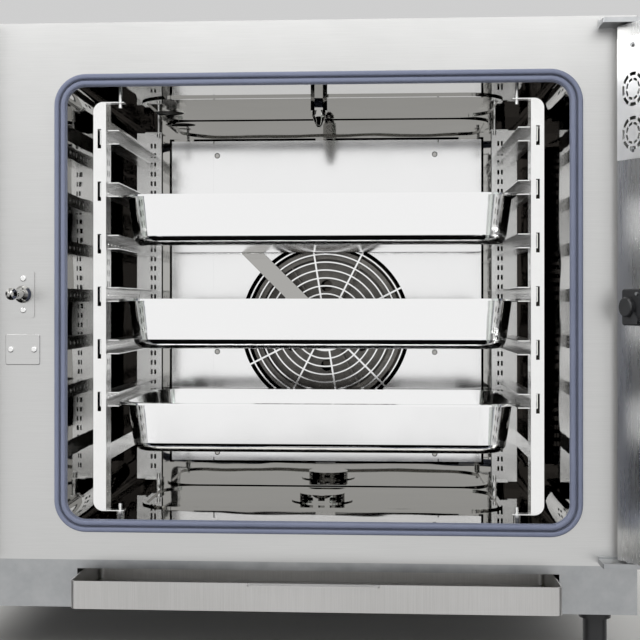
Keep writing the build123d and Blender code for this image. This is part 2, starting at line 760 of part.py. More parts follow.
strainer_r = 43.5
strainer_h = 11.0
with BuildPart() as drain_strainer:
    with BuildSketch(at_z(cavity_floor, cavity_x, front + drain_y)):
        Circle(strainer_r)
        Circle(drain_r - 8, mode=Mode.SUBTRACT)
    extrude(amount=1.5)
    with BuildSketch(at_z(cavity_floor + 1, cavity_x, front + drain_y)):
        Circle(32)
        Circle(30.5, mode=Mode.SUBTRACT)
    extrude(amount=strainer_h - 1)
    with BuildSketch(at_z(cavity_floor + strainer_h - 1.5, cavity_x, front + drain_y)):
        Circle(32)
    extrude(amount=1.5)
    # slots round the side
    for i in range(12):
        with BuildSketch(at_z(cavity_floor + 3, cavity_x, front + drain_y)):
            with Locations((31.2 * cos(radians(i * 30)), 31.2 * sin(radians(i * 30)))):
                Rectangle(6, 9, rotation=i * 30)
        extrude(amount=4.5, mode=Mode.SUBTRACT)
    # skirt that centres it in the floor hole
    with BuildSketch(at_z(cavity_floor + 0.5, cavity_x, front + drain_y)):
        Circle(drain_r - 2 * clear)
        Circle(drain_r - 8, mode=Mode.SUBTRACT)
    extrude(amount=-1.9)
drain_strainer.part.label = "drain_strainer"
export_step(drain_strainer.part, "parts/drain_strainer.step")

pipe_out = 20.0
with BuildPart() as drain_pipe:
    floor_under = cavity_floor - cavity_wall
    with BuildLine():
        FilletPolyline((cavity_x, front + drain_y, floor_under - 10), (cavity_x, front + drain_y, pipe_z),
                       (cavity_x, back + pipe_out, pipe_z), radius=30)
    with BuildSketch(at_z(floor_under - 10, cavity_x, front + drain_y)):
        Circle(pipe_r)
        Circle(pipe_r - 1.5, mode=Mode.SUBTRACT)
    sweep()
    with BuildSketch(at_z(floor_under, cavity_x, front + drain_y)):
        Circle(drain_r + 3)
    with BuildSketch(at_z(floor_under - 10, cavity_x, front + drain_y)):
        Circle(pipe_r)
    loft()
    with BuildSketch(at_z(floor_under, cavity_x, front + drain_y)):
        Circle(drain_r + 1.5)
    with BuildSketch(at_z(floor_under - 10, cavity_x, front + drain_y)):
        Circle(pipe_r - 1.5)
    loft(mode=Mode.SUBTRACT)
    # spigot for the waste hose
    with BuildSketch(at_y(back + pipe_out, cavity_x, pipe_z)):
        Circle(pipe_r + 1)
        Circle(pipe_r - 1.5, mode=Mode.SUBTRACT)
    extrude(amount=pipe_out)
drain_pipe.part.label = "drain_pipe"
export_step(drain_pipe.part, "parts/drain_pipe.step")

stack_top = body_h + stack_out
collar_l = 30.0
with BuildPart() as exhaust_stack:
    with BuildSketch(at_z(ceiling + cavity_wall, stack_x, stack_y)):
        Circle(stack_r)
        Circle(stack_r - stack_wall, mode=Mode.SUBTRACT)
    extrude(amount=stack_top - ceiling - cavity_wall)
    with BuildSketch(at_z(stack_top - collar_l, stack_x, stack_y)):
        Circle(stack_r + 1)
        Circle(stack_r - stack_wall, mode=Mode.SUBTRACT)
    extrude(amount=collar_l)
    # bearing holes of the flap's spindle
    with BuildSketch(at_x(stack_x - stack_r - 5, stack_y, ceiling + 40)):
        Circle(2 + running)
    extrude(amount=2 * stack_r + 10, mode=Mode.SUBTRACT)
exhaust_stack.part.label = "exhaust_stack"
export_step(exhaust_stack.part, "parts/exhaust_stack.step")

with BuildPart() as exhaust_flap:
    with BuildSketch(at_z(ceiling + 39.3, stack_x, stack_y)):
        Circle(stack_r - stack_wall - 1)
    extrude(amount=1.4)
    with BuildSketch(at_x(stack_x - stack_r - 8, stack_y, ceiling + 40)):
        Circle(2)
    extrude(amount=2 * stack_r + 12)
    # lever of the damper
    with BuildSketch(at_x(stack_x - stack_r - 8, stack_y, ceiling + 40)):
        with Locations((0, 8)):
            SlotOverall(24, 8, rotation=90)
    extrude(amount=3)
exhaust_flap.part.label = "exhaust_flap"
export_step(exhaust_flap.part, "parts/exhaust_flap.step")

inlet_out = 18.0
with BuildPart() as water_inlets:
    for x in (inlet_x, inlet_x + inlet_pitch):
        with BuildSketch(at_y(back + inlet_out, x, inlet_z)):
            Circle(inlet_r)
        extrude(amount=inlet_out)
        with BuildSketch(at_y(back - frame_sheet, x, inlet_z)):
            Circle(inlet_r + 5)
        extrude(amount=24)
        with BuildSketch(at_y(back + inlet_out, x, inlet_z)):
            Circle(8)
        extrude(amount=inlet_out + frame_sheet + 14, mode=Mode.SUBTRACT)
        with BuildSketch(at_y(back - frame_sheet, x, inlet_z)):
            Circle(inlet_neck)
            Circle(8, mode=Mode.SUBTRACT)
        extrude(amount=-frame_sheet)
water_inlets.part.label = "water_inlets"
export_step(water_inlets.part, "parts/water_inlets.step")

gland_bore = 8.0
gland_out = 24.0
with BuildPart() as cable_gland:
    with BuildSketch(at_y(back + 8, gland_x, gland_z)):
        RegularPolygon(gland_r + 5, 6)
    extrude(amount=8)
    with BuildSketch(at_y(back + gland_out, gland_x, gland_z)):
        Circle(gland_r - 2)
    extrude(amount=gland_out - 8)
    fillet(cable_gland.faces().sort_by(Axis.Y)[-1].edges(), 3)
    with BuildSketch(at_y(back, gland_x, gland_z)):
        Circle(gland_r - 0.5)
    extrude(amount=12)
    with BuildSketch(at_y(back + gland_out + 1, gland_x, gland_z)):
        Circle(gland_bore)
    extrude(amount=gland_out + 14, mode=Mode.SUBTRACT)
cable_gland.part.label = "cable_gland"
export_step(cable_gland.part, "parts/cable_gland.step")

unit_w = 76.0
unit_l = 420.0
unit_h = 480.0
with BuildPart() as control_unit:
    with BuildSketch(at_z(base_h + 60, left + 50, 20)):
        RectangleRounded(unit_w, unit_l, 4)
    extrude(amount=unit_h)
    with BuildSketch(at_z(base_h + 62, left + 50 - 4, 20)):
        Rectangle(unit_w, unit_l - 6)
    extrude(amount=unit_h - 4, mode=Mode.SUBTRACT)
control_unit.part.label = "control_unit"
export_step(control_unit.part, "parts/control_unit.step")

with BuildPart() as feet:
    with BuildSketch(at_z(-foot_h)):
        with GridLocations(body_w - 90, body_d - 90, 2, 2):
            Circle(24)
    extrude(amount=10)
    fillet(feet.faces().sort_by(Axis.Z)[0:4].edges(), 2)
    with BuildSketch(at_z(-foot_h + 10)):
        with GridLocations(body_w - 90, body_d - 90, 2, 2):
            Circle(15)
    extrude(amount=foot_h - 22)
    with BuildSketch(at_z(-12)):
        with GridLocations(body_w - 90, body_d - 90, 2, 2):
            Circle(20)
    extrude(amount=12)
feet.part.label = "feet"
export_step(feet.part, "parts/feet.step")

# ---- drip tray under the door ----

with BuildPart() as drip_tray:
    with BuildSketch(at_z(tray_z, cavity_x, front + (tray_in - tray_out) / 2)):
        RectangleRounded(tray_w, tray_in + tray_out, 8)
    extrude(amount=tray_h)
    with BuildSketch(at_z(tray_z + 1.5, cavity_x, front + (tray_in - tray_out) / 2)):
        RectangleRounded(tray_w - 3, tray_in + tray_out - 3, 6.5)
    extrude(amount=tray_h, mode=Mode.SUBTRACT)
    # lip to pull it by
    with BuildSketch(at_z(tray_z + tray_h - 1.5, cavity_x, front - tray_out - 6)):
        RectangleRounded(160, 15, 5)
    extrude(amount=1.5)
drip_tray.part.label = "drip_tray"
export_step(drip_tray.part, "parts/drip_tray.step")

# ---- control column ----

fascia_h = body_h - base_h
fascia_front = front - fascia_out
display_z = 560.0
dial_z = 405.0
button_zs = (330.0, 295.0, 260.0)
switch_z = 150.0
with BuildPart() as control_fascia:
    with BuildSketch(at_y(fascia_front, fascia_x, base_h + fascia_h / 2)):
        RectangleRounded(fascia_w, fascia_h, 3)
    extrude(amount=-fascia_out - frame_depth)
    with BuildSketch(at_y(fascia_front + frame_sheet, fascia_x, base_h + fascia_h / 2)):
        Rectangle(fascia_w - 2 * frame_sheet, fascia_h - 2 * frame_sheet)
    extrude(amount=-fascia_out - frame_depth, mode=Mode.SUBTRACT)
    with BuildSketch(at_y(fascia_front - 1, fascia_x, 0)):
        with Locations((0, display_z)):
            RectangleRounded(84, 150, 4)
        with Locations((0, dial_z)):
            Circle(6)
        with Locations(*[(0, z) for z in button_zs]):
            Circle(9)
        with Locations((0, switch_z)):
            RectangleRounded(22, 32, 1)
    extrude(amount=-frame_sheet - 2, mode=Mode.SUBTRACT)
control_fascia.part.label = "control_fascia"
export_step(control_fascia.part, "parts/control_fascia.step")

with BuildPart() as control_display:
    with BuildSketch(at_y(fascia_front, fascia_x, display_z)):
        RectangleRounded(84, 150, 4)
    extrude(amount=-6)
    with BuildSketch(at_y(fascia_front + frame_sheet, fascia_x, display_z)):
        RectangleRounded(94, 160, 5)
    extrude(amount=-4)
control_display.part.label = "control_display"
export_step(control_display.part, "parts/control_display.step")

knob_r = 26.0
knob_l = 24.0
with BuildPart() as selector_dial:
    with BuildSketch(at_y(fascia_front - 1, fascia_x, dial_z)):
        Circle(knob_r)
    extrude(amount=knob_l)
    fillet(selector_dial.faces().sort_by(Axis.Y)[0].edges(), 3)
    with BuildSketch(at_y(fascia_front - 1 - knob_l + 1, fascia_x, dial_z)):
        with Locations((0, knob_r - 7)):
            SlotOverall(9, 2.5, rotation=90)
    extrude(amount=2, mode=Mode.SUBTRACT)
    with BuildSketch(at_y(fascia_front - 2, fascia_x, dial_z)):
        with PolarLocations(knob_r, 24):
            Circle(1.1, mode=Mode.ADD)
    extrude(amount=knob_l - 6, mode=Mode.SUBTRACT)
    with BuildSketch(at_y(fascia_front - 1, fascia_x, dial_z)):
        Circle(5)
    extrude(amount=-24)
selector_dial.part.label = "selector_dial"
export_step(selector_dial.part, "parts/selector_dial.step")

for i, z in enumerate(button_zs):
    with BuildPart() as button:
        with BuildSketch(at_y(fascia_front - 3, fascia_x, z)):
            Circle(9 - clear)
        extrude(amount=-14)
        fillet(button.faces().sort_by(Axis.Y)[0].edges(), 1.2)
        with BuildSketch(at_y(fascia_front + frame_sheet + 0.1, fascia_x, z)):
            Circle(11)
        extrude(amount=-2)
    button.part.label = f"button_{i + 1}"
    export_step(button.part, f"parts/button_{i + 1}.step")

rocker_pin = 2.0
rocker_y = fascia_front + 8
with BuildPart() as power_switch:
    with BuildSketch(at_x(fascia_x - 10.5, rocker_y, switch_z)):
        with BuildLine():
            Polyline((8, 11.5), (-8.5, 13), (-11.5, 13), (-8.8, 0), (-8.3, -13), (8, -11.5), (8, 11.5))
        make_face()
    extrude(amount=21)
    # pivots behind the fascia
    with BuildSketch(at_x(fascia_x - 13.5, rocker_y, switch_z)):
        Circle(rocker_pin)
    extrude(amount=27)
power_switch.part.label = "power_switch"
export_step(power_switch.part, "parts/power_switch.step")

# ---- door, in the place it has when closed, then swung open ----

door_z0 = base_h + door_lift
door_z1 = door_z0 + door_h
door_mid = (door_z0 + door_z1) / 2
door_in = front - gasket_h - gasket_gap - pane_proud
hinge_x = right - pin_in
hinge_y = door_in - pin_deep
hinge_line = Axis((hinge_x, hinge_y, 0), (0, 0, 1))


def on_door(x, z, deep=0.0):
    """Plane on the door facing its outside: x from the hinge edge, deep from the inner skin outwards."""
    return at_y(door_in - deep, right - x, z)


def swung(piece, name):
    opened = piece.part.rotate(hinge_line, door_open)
    opened.label = name
    export_step(opened, f"parts/{name}.step")


window_x = cavity_to_right
window_w = door_w - 240
window_h = 440.0
lock_x = right - striker_x
lock_arm = 34.0
spindle_z = striker_z - lock_arm
spindle_r = 7.0
glass_w = door_w - 100
glass_h = 600.0

with BuildPart() as door_shell:
    with BuildSketch(on_door(door_w / 2, door_mid, door_sheet)):
        Rectangle(door_w, door_h)
    extrude(amount=door_t - door_sheet)
    fillet(door_shell.edges().filter_by(Axis.Z).group_by(Axis.Y)[0], 3)
    with BuildSketch(on_door(door_w / 2, door_mid, door_sheet)):
        Rectangle(door_w - 2 * door_sheet, door_h - 2 * door_sheet)
    extrude(amount=door_t - 2 * door_sheet, mode=Mode.SUBTRACT)
    with BuildSketch(on_door(window_x, cavity_z, door_t - 5)):
        RectangleRounded(window_w, window_h, 12)
    extrude(amount=8, mode=Mode.SUBTRACT)
    with BuildSketch(on_door(lock_x, spindle_z, door_t - 5)):
        Circle(spindle_r + clear)
    extrude(amount=8, mode=Mode.SUBTRACT)
    with BuildSketch(at_z(door_z0 - 1, hinge_x, hinge_y)):
        Circle(pin_r + running)
    extrude(amount=door_h + 2, mode=Mode.SUBTRACT)
swung(door_shell, "door_shell")

with BuildPart() as hinge_bushes:
    for z in (door_z0 + door_sheet, door_z1 - door_sheet - 18):
        with BuildSketch(at_z(z, hinge_x, hinge_y)):
            Circle(pin_r + bush_wall)
            Circle(pin_r + running, mode=Mode.SUBTRACT)
        extrude(amount=18)
swung(hinge_bushes, "hinge_bushes")

with BuildPart() as door_glass:
    with BuildSketch(on_door(window_x - 10, cavity_z, door_t)):
        RectangleRounded(glass_w, glass_h, 14)
    extrude(amount=glass_t)
    chamfer(door_glass.faces().sort_by(Axis.Y)[0].edges(), 1)
swung(door_glass, "door_glass")

vent_x = 31.0
vent_w = 50.0
vent_low = 173.0
vent_high = 321.0
vent_zs = (204.0, 257.0)
vent_margin = 10.0
pane_x0 = 61.0
pane_w = door_w - 127
pane_h = 604.0
lug_x = pane_x0 + pane_w + 7
lug_y = pane_proud - pane_t / 2
lug_z = 250.0

with BuildPart() as door_skin:
    with BuildSketch(on_door(door_w / 2, door_mid)):
        Rectangle(door_w, door_h)
    extrude(amount=door_sheet)
    with BuildSketch(on_door(0, cavity_z, -1)):
        with Locations((-window_x, 0)):
            RectangleRounded(window_w + 20, window_h + 20, 16)
        with Locations((-lock_x, striker_z - cavity_z)):
            SlotOverall(40, 26, rotation=90)
        with Locations((-vent_x, (vent_low + vent_high) / 2)):
            Rectangle(vent_w - vent_margin, vent_high - vent_low - 2 * vent_margin)
    # sketch x points the other way from the hinge edge
    extrude(amount=4, mode=Mode.SUBTRACT)
    # lugs that carry the inner pane's pins
    for side in (-1, 1):
        z = cavity_z + side * (lug_z + 20)
        with BuildSketch(on_door(lug_x, z, 0)):
            Rectangle(12, 12)
        extrude(amount=-pane_proud - 1)
        with BuildSketch(at_z(z - 7, right - lug_x, door_in + lug_y)):
            Circle(3 + clear)
        extrude(amount=14, mode=Mode.SUBTRACT)
swung(door_skin, "door_skin")

with BuildPart() as vent_plate:
    with BuildSketch(on_door(vent_x, cavity_z + (vent_low + vent_high) / 2, -1.2)):
        Rectangle(vent_w + 10, vent_high - vent_low)
        for z in vent_zs:
            with Locations((0, z - (vent_low + vent_high) / 2)):
                Circle(20.5, mode=Mode.SUBTRACT)
                Circle(16.2)
                Circle(13.2, mode=Mode.SUBTRACT)
                Circle(10.2)
                for i in range(8):
                    angle = i * 45 + 22.5
                    with Locations((18.3 * cos(radians(angle)), 18.3 * sin(radians(angle)))):
                        Rectangle(6, 3.4, rotation=angle)
                for i in range(8):
                    angle = i * 45
                    with Locations((11.7 * cos(radians(angle)), 11.7 * sin(radians(angle)))):
                        Rectangle(5, 2.4, rotation=angle)
    extrude(amount=1.2)
swung(vent_plate, "vent_plate")

lamp_h = 380.0
with BuildPart() as door_lamps:
    for x in (86.0, door_w - 88):
        with BuildSketch(on_door(x, cavity_z, 4)):
            RectangleRounded(18, lamp_h, 3)
        extrude(amount=12)
swung(door_lamps, "door_lamps")

catch_x = 38.0
catch_w = 37.0
catch_gap = 1.0
catch_mid = pane_x0 - catch_gap - catch_w / 2
catch_z = cavity_z - 5
with BuildPart() as catch_block:
    with BuildSketch(on_door(catch_mid, catch_z, 0)):
        RectangleRounded(catch_w, 44, 4)
    extrude(amount=-12)
    fillet(catch_block.faces().sort_by(Axis.Y)[-1].outer_wire().edges(), 2)
    with BuildSketch(on_door(catch_x, catch_z, -13)):
        Circle(4 + clear)
    extrude(amount=14, mode=Mode.SUBTRACT)
swung(catch_block, "catch_block")

catch_len = 26.0
catch_turn = 225.0
with BuildPart() as catch_knob:
    with BuildSketch(on_door(catch_x, catch_z, -12.3)):
        Circle(12)
    extrude(amount=-7)
    fillet(catch_knob.faces().sort_by(Axis.Y)[-1].edges(), 2)
    with BuildSketch(on_door(catch_x, catch_z, -12.4)):
        Circle(4)
    extrude(amount=11)
    # lever, pointing down and away from the hinge
    with BuildSketch(on_door(catch_x, catch_z, -12.4)):
        with Locations((catch_len / 2 * cos(radians(catch_turn)), catch_len / 2 * sin(radians(catch_turn)))):
            SlotOverall(catch_len, 8, rotation=catch_turn)
    extrude(amount=-3)
swung(catch_knob, "catch_knob")

with BuildPart() as inner_pane:
    with BuildSketch(on_door(pane_x0 + pane_w / 2, cavity_z, -pane_proud)):
        RectangleRounded(pane_w, pane_h, 14)
    extrude(amount=pane_t)
    chamfer(inner_pane.faces().sort_by(Axis.Y)[-1].edges(), 0.8)
swung(inner_pane, "inner_pane")

with BuildPart() as pane_hinges:
    for side in (-1, 1):
        z = cavity_z + side * lug_z
        with BuildSketch(on_door(lug_x - 3.5, z, -pane_proud)):
            Rectangle(6.9, 24)
        extrude(amount=pane_t)
        with BuildSketch(at_z(z, right - lug_x, door_in + lug_y)):
            Circle(2.4)
        extrude(amount=side * 27)
swung(pane_hinges, "pane_hinges")

grip_r = 13.0
grip_l = 230.0
grip_out = 52.0
with BuildPart() as door_handle:
    with BuildSketch(on_door(lock_x, spindle_z, door_t + 0.4)):
        Circle(22)
    extrude(amount=14)
    with BuildSketch(on_door(lock_x, spindle_z, door_t + 10)):
        RectangleRounded(24, 24, 6)
    extrude(amount=grip_out - 10)
    with BuildSketch(at_z(spindle_z - grip_l + 20, right - lock_x, door_in - door_t - grip_out)):
        SlotOverall(2 * grip_r + 4, 22, rotation=0)
    extrude(amount=grip_l)
    fillet(door_handle.edges().filter_by(GeomType.CIRCLE).group_by(Axis.Z)[0], 3)
swung(door_handle, "door_handle")

cam_deep = neck_in - (front - door_in) + neck_len / 2
with BuildPart() as latch_cam:
    # spindle from the handle into the door
    with BuildSketch(on_door(lock_x, spindle_z, 6)):
        Circle(spindle_r)
    extrude(amount=door_t - 5.8)
    # hook: an arm with a curved mouth round the spindle
    with BuildSketch(on_door(lock_x, spindle_z, cam_deep - 2)):
        Circle(lock_arm + 10)
        Circle(lock_arm + neck_r + clear, mode=Mode.SUBTRACT)
        Circle(lock_arm - neck_r - clear)
        with Locations((-50, 0)):
            Rectangle(100, 120, mode=Mode.SUBTRACT)
        with Locations((0, 60)):
            Rectangle(120, 78, mode=Mode.SUBTRACT)
        with Locations((20, -60)):
            Rectangle(120, 80, mode=Mode.SUBTRACT)
        # closed end of the mouth
        with Locations((lock_arm * cos(radians(-27)), lock_arm * sin(radians(-27)))):
            Rectangle(16, 5, rotation=-27)
        Circle(12)
    extrude(amount=4)
swung(latch_cam, "latch_cam")

# ---- hinge brackets on the casing ----

with BuildPart() as hinge_brackets:
    for z, way in ((door_z1 + 2, 1), (door_z0 - 2, -1)):
        with BuildSketch(at_z(z, hinge_x - 10, (front + hinge_y - 12) / 2)):
            RectangleRounded(48, front - hinge_y + 12, 2)
        extrude(amount=6 * way)
        with BuildSketch(at_z(z + way, hinge_x, hinge_y)):
            Circle(pin_r)
        extrude(amount=-20 * way)
    for z in (door_z1 + 2 + 6, door_z0 - 2 - 6 + 4):
        with BuildSketch(at_y(front, hinge_x - 10, z)):
            Rectangle(48, 8)
        extrude(amount=5)
hinge_brackets.part.label = "hinge_brackets"
export_step(hinge_brackets.part, "parts/hinge_brackets.step")
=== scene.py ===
import bpy
import json
import math
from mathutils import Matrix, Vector


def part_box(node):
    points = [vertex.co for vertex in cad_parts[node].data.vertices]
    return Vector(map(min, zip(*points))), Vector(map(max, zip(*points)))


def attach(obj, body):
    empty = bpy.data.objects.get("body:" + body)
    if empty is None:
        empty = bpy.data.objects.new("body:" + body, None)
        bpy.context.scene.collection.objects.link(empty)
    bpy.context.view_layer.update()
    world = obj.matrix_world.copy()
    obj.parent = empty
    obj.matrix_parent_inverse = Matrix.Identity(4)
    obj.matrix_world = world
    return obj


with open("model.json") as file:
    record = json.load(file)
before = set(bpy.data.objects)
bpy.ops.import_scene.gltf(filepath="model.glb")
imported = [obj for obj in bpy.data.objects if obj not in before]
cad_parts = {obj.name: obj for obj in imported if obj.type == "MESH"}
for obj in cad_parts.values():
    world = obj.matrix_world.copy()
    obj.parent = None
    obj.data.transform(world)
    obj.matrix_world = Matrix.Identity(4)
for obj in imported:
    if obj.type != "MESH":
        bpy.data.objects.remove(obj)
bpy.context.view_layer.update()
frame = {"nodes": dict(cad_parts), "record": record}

nodes = frame["nodes"]


def hexColor(value):
    # sRGB hex to linear RGBA
    parts = [int(value[i:i + 2], 16) / 255 for i in (1, 3, 5)]
    linear = [p / 12.92 if p <= 0.04045 else ((p + 0.055) / 1.055) ** 2.4 for p in parts]
    return (*linear, 1.0)


def addNode(tree, kind, settings=None, links=None):
    # settings: attribute or input values; links: input name -> output socket
    node = tree.nodes.new(kind)
    for key, value in (settings or {}).items():
        if isinstance(key, int) or key in node.inputs:
            node.inputs[key].default_value = value
        else:
            setattr(node, key, value)
    for key, socket in (links or {}).items():
        tree.links.new(socket, node.inputs[key])
    return node


def startMaterial(name, settings):
    material = bpy.data.materials.new(name)
    material.use_nodes = True
    tree = material.node_tree
    shader = tree.nodes["Principled BSDF"]
    for key, value in settings.items():
        shader.inputs[key].default_value = value
    coords = addNode(tree, "ShaderNodeTexCoord").outputs["Object"]
    return material, tree, shader, coords


def stretched(tree, coords, scale):
    return addNode(tree, "ShaderNodeMapping", {"Scale": scale}, {"Vector": coords}).outputs["Vector"]


def remap(tree, value, low, high, fromLow=0.0, fromHigh=1.0):
    node = addNode(tree, "ShaderNodeMapRange", {"From Min": fromLow, "From Max": fromHigh,
                                                "To Min": low, "To Max": high}, {"Value": value})
    return node.outputs["Result"]


def blendColors(tree, factor, low, high):
    blend = addNode(tree, "ShaderNodeMix", {"data_type": "RGBA"})
    tree.links.new(factor, blend.inputs["Factor"])
    # the colour sockets of a mix node come after those for numbers and vectors
    blend.inputs[6].default_value = low
    blend.inputs[7].default_value = high
    return blend.outputs[2]


def bumped(tree, shader, height, strength, distance):
    bump = addNode(tree, "ShaderNodeBump", {"Strength": strength, "Distance": distance},
                   {"Height": height})
    tree.links.new(bump.outputs["Normal"], shader.inputs["Normal"])


def brushedStainless(name, look):
    # belt-ground stainless sheet: fine lines one way, soft stretched highlights, faint smears from wiping
    material, tree, shader, coords = startMaterial(name, {"Metallic": 1.0, "Anisotropic": 0.5})
    lines = addNode(tree, "ShaderNodeTexNoise", {"Scale": 1.0, "Detail": 3.0, "Roughness": 0.6},
                    {"Vector": stretched(tree, coords, look["grain"])}).outputs["Fac"]
    smears = addNode(tree, "ShaderNodeTexNoise", {"Scale": 4.5, "Detail": 4.0, "Roughness": 0.55},
                     {"Vector": coords}).outputs["Fac"]
    mixed = addNode(tree, "ShaderNodeMath", {"operation": "ADD"})
    tree.links.new(remap(tree, lines, -0.5, 0.5), mixed.inputs[0])
    smear = look.get("smear", 1.0)
    tree.links.new(remap(tree, smears, 0.25 - 0.65 * smear, 0.25 + 0.65 * smear), mixed.inputs[1])
    tree.links.new(blendColors(tree, mixed.outputs[0], hexColor(look["dark"]), hexColor(look["light"])),
                   shader.inputs["Base Color"])
    tree.links.new(remap(tree, mixed.outputs[0], look["rough"] - 0.05, look["rough"] + 0.06),
                   shader.inputs["Roughness"])
    bumped(tree, shader, lines, look.get("bump", 0.12), 0.0002)
    return material


def mirrorStainless(name, look):
    # bright annealed, buffed sheet: near mirror, with the long shallow waves of thin pressed metal
    material, tree, shader, coords = startMaterial(name, {
        "Metallic": 1.0, "Base Color": hexColor(look["color"])})
    if "paintedShadeColor" in look:
        # painted shade: the sheet behind the baffle is given a dark colour that stands in for the shade there
        depth = addNode(tree, "ShaderNodeSeparateXYZ", None, {"Vector": coords}).outputs["Y"]
        behind = remap(tree, depth, 0.0, 1.0, look["paintedShadeFrom"], look["paintedShadeFrom"] + 0.01)
        tree.links.new(blendColors(tree, behind, hexColor(look["color"]), hexColor(look["paintedShadeColor"])),
                       shader.inputs["Base Color"])
    waves = addNode(tree, "ShaderNodeTexNoise", {"Scale": look["waves"], "Detail": 2.0, "Roughness": 0.4},
                    {"Vector": coords}).outputs["Fac"]
    haze = addNode(tree, "ShaderNodeTexNoise", {"Scale": 9.0, "Detail": 5.0, "Roughness": 0.6},
                   {"Vector": coords}).outputs["Fac"]
    tree.links.new(remap(tree, haze, look["rough"], look["rough"] + look["haze"], 0.35, 0.75),
                   shader.inputs["Roughness"])
    bumped(tree, shader, waves, look["waviness"], 0.004)
    return material


def mouldedPlastic(name, look):
    # moulded ABS: spark-eroded grain of about a third of a millimetre, drawn a little coarser
    material, tree, shader, coords = startMaterial(name, {"Metallic": 0.0, "IOR": 1.53})
    grain = addNode(tree, "ShaderNodeTexNoise", {"Scale": 2200.0, "Detail": 2.0},
                    {"Vector": coords}).outputs["Fac"]
    cloud = addNode(tree, "ShaderNodeTexNoise", {"Scale": 18.0, "Detail": 3.0},
                    {"Vector": coords}).outputs["Fac"]
    tree.links.new(blendColors(tree, cloud, hexColor(look["dark"]), hexColor(look["light"])),
                   shader.inputs["Base Color"])
    tree.links.new(remap(tree, grain, look["rough"] - 0.06, look["rough"] + 0.08), shader.inputs["Roughness"])
    bumped(tree, shader, grain, look.get("bump", 0.15), 0.00015)
    return material


def siliconeRubber(name, look):
    # extruded silicone seal: matt, slightly cloudy, with a bloom of dust on its crests
    material, tree, shader, coords = startMaterial(name, {"Metallic": 0.0, "IOR": 1.43, "Roughness": 0.5,
                                                          "Sheen Weight": 0.15, "Sheen Roughness": 0.5})
    cloud = addNode(tree, "ShaderNodeTexNoise", {"Scale": 14.0, "Detail": 5.0, "Roughness": 0.6},
                    {"Vector": coords}).outputs["Fac"]
    fine = addNode(tree, "ShaderNodeTexNoise", {"Scale": 900.0, "Detail": 2.0},
                   {"Vector": coords}).outputs["Fac"]
    tree.links.new(blendColors(tree, cloud, hexColor(look["dark"]), hexColor(look["light"])),
                   shader.inputs["Base Color"])
    tree.links.new(remap(tree, cloud, 0.4, 0.62), shader.inputs["Roughness"])
    bumped(tree, shader, fine, 0.08, 0.0002)
    return material


def toughenedGlass(name, look):
    # clear float glass with a faint green cast and wiping haze
    material, tree, shader, coords = startMaterial(name, {
        "Metallic": 0.0, "IOR": 1.52, "Transmission Weight": 1.0, "Base Color": hexColor(look["color"])})
    haze = addNode(tree, "ShaderNodeTexNoise", {"Scale": 7.0, "Detail": 6.0, "Roughness": 0.65},
                   {"Vector": coords}).outputs["Fac"]
    tree.links.new(remap(tree, haze, 0.0, 0.09, 0.4, 0.8), shader.inputs["Roughness"])
    return material


def mineralWool(name, look):
    # yellow glass wool: matt tufts with soft shadows between them
    material, tree, shader, coords = startMaterial(name, {"Roughness": 0.95})
    tufts = addNode(tree, "ShaderNodeTexNoise", {"Scale": 160.0, "Detail": 8.0, "Roughness": 0.7},
                    {"Vector": coords}).outputs["Fac"]
    tree.links.new(blendColors(tree, tufts, hexColor(look["dark"]), hexColor(look["light"])),
                   shader.inputs["Base Color"])
    bumped(tree, shader, tufts, 0.6, 0.002)
    return material


def turnedBrass(name, look):
    # turned brass: fine rings from the lathe that catch the light
    material, tree, shader, coords = startMaterial(name, {"Metallic": 1.0})
    rings = addNode(tree, "ShaderNodeTexNoise", {"Scale": 1.0, "Detail": 2.0},
                    {"Vector": stretched(tree, coords, (20, 1500, 20))}).outputs["Fac"]
    tree.links.new(blendColors(tree, rings, hexColor(look["dark"]), hexColor(look["light"])),
                   shader.inputs["Base Color"])
    tree.links.new(remap(tree, rings, 0.2, 0.34), shader.inputs["Roughness"])
    return material


